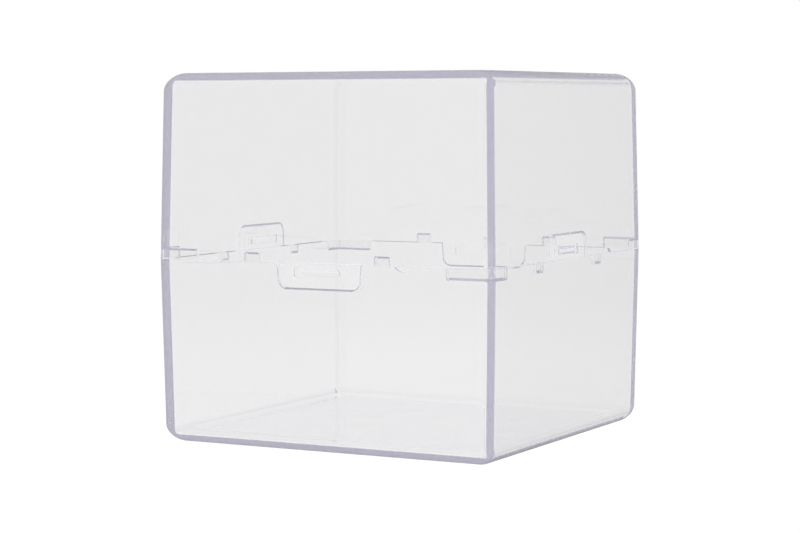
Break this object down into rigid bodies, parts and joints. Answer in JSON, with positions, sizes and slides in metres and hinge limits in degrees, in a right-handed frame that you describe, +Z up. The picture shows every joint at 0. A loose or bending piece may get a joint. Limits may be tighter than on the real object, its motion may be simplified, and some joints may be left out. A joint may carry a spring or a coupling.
{
  "type": "pick holder box",
  "caption": "Clear snap-shut plastic cube box for keeping guitar picks, a base tub and a lift-off lid tub held together by flexible latch tongues.",
  "frame": {"origin": "centre of the underside, on the surface the box stands on", "axes": "+Z up through the middle of the base and lid, -Y the front face, +X to the right of the front face"},
  "size_m": [0.076, 0.076, 0.076],
  "materials": {
    "clear_base": "clear, gloss moulded polystyrene",
    "clear_base_latch": "clear, gloss moulded polystyrene",
    "clear_lid": "clear, gloss moulded polystyrene",
    "clear_lid_latch": "clear, gloss moulded polystyrene"
  },
  "bodies": {
    "base": {"base_shell": "clear_base"},
    "left_latch": {"left_latch_tongue": "clear_base_latch"},
    "right_latch": {"right_latch_tongue": "clear_base_latch"},
    "lid": {"lid_shell": "clear_lid"},
    "front_latch": {"front_latch_tongue": "clear_lid_latch"},
    "back_latch": {"back_latch_tongue": "clear_lid_latch"}
  },
  "joints": [
    {"name": "lid_lift", "type": "slide", "parent": "base", "child": "lid", "axis": [0, 0, 1], "range_m": [0, 0.06]},
    {"name": "left_latch_flex", "type": "hinge", "parent": "base", "child": "left_latch", "pos_m": [-0.038, 0, 0.0379], "axis": [0, -1, 0], "range_deg": [0, 12], "stiffness_Nm_per_rad": 0.1},
    {"name": "right_latch_flex", "type": "hinge", "parent": "base", "child": "right_latch", "pos_m": [0.038, 0, 0.0379], "axis": [0, 1, 0], "range_deg": [0, 12], "stiffness_Nm_per_rad": 0.1},
    {"name": "front_latch_flex", "type": "hinge", "parent": "lid", "child": "front_latch", "pos_m": [0, -0.038, 0.0381], "axis": [-1, 0, 0], "range_deg": [0, 12], "stiffness_Nm_per_rad": 0.1},
    {"name": "back_latch_flex", "type": "hinge", "parent": "lid", "child": "back_latch", "pos_m": [0, 0.038, 0.0381], "axis": [1, 0, 0], "range_deg": [0, 12], "stiffness_Nm_per_rad": 0.1}
  ]
}
